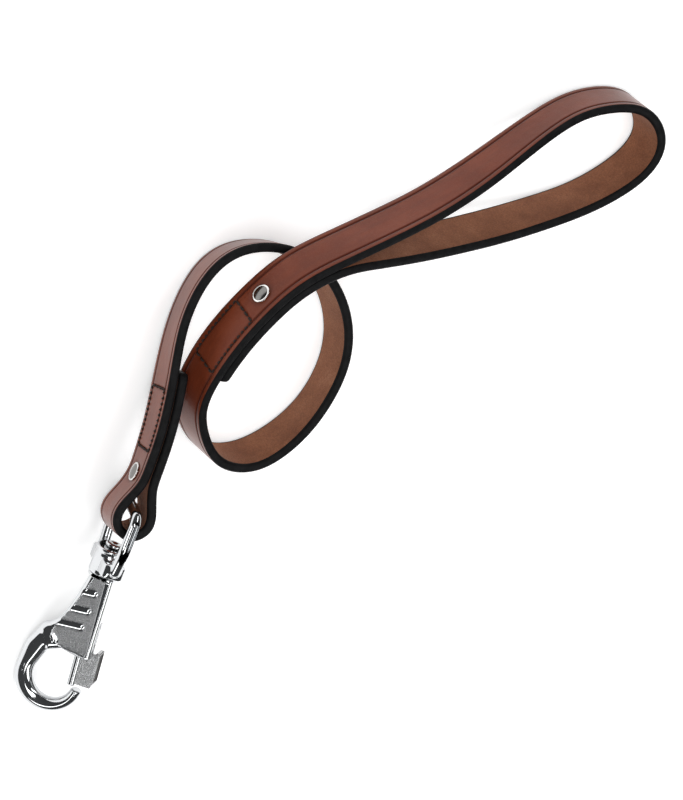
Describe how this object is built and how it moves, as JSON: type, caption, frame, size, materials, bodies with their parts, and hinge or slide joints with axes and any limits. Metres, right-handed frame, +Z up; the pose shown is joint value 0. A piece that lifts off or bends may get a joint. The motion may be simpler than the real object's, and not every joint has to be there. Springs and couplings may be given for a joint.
{
  "type": "training leash",
  "caption": "Short leather training leash with a sewn and riveted hand loop, lying in a loose curl, and a swivel bolt snap at its other end.",
  "frame": {"origin": "on the surface that the leash lies on, under the middle of its bounding box", "axes": "+X from the hand loop towards the snap, +Y across the lying leash towards the loop's far side, +Z up"},
  "size_m": [0.3373, 0.1039, 0.0416],
  "materials": {
    "leather": "smooth waxed grain with painted black edges and a suede back",
    "thread": "waxed thread",
    "rivet_metal": "polished nickel plate",
    "chrome": "bright plate, satin in the sunk panels",
    "thumb_metal": "plated, worn on its rim",
    "spring_steel": "drawn wire"
  },
  "bodies": {
    "leash": {"strap": "leather", "handle_needle_thread": "thread", "handle_bobbin_thread": "thread", "hook_needle_thread": "thread", "hook_bobbin_thread": "thread", "handle_rivet_cap": "rivet_metal", "handle_rivet_post": "rivet_metal", "hook_rivet_cap": "rivet_metal", "hook_rivet_post": "rivet_metal"},
    "eye": {"swivel_eye": "chrome"},
    "snap": {"swivel_stud": "chrome", "hook_body": "chrome", "bolt_spring": "spring_steel"},
    "bolt": {"bolt_rod": "chrome", "thumb_piece": "thumb_metal"}
  },
  "joints": [
    {"name": "eye_swing", "type": "hinge", "parent": "leash", "child": "eye", "pos_m": [0.0866, 0.00011, 0.02066], "axis": [0.1384, -0.0781, 0.9873], "range_deg": [-90, 90]},
    {"name": "snap_swivel", "type": "hinge", "parent": "eye", "child": "snap", "pos_m": [0.11238, 0.01623, 0.01832], "axis": [0.8455, 0.5284, -0.0767], "continuous": true},
    {"name": "bolt_slide", "type": "slide", "parent": "snap", "child": "bolt", "axis": [-0.8015, -0.5979, 0.0121], "range_m": [0, 0.012], "stiffness_N_per_m": 500, "springref_m": -0.004, "deforming": ["bolt_spring"]}
  ]
}
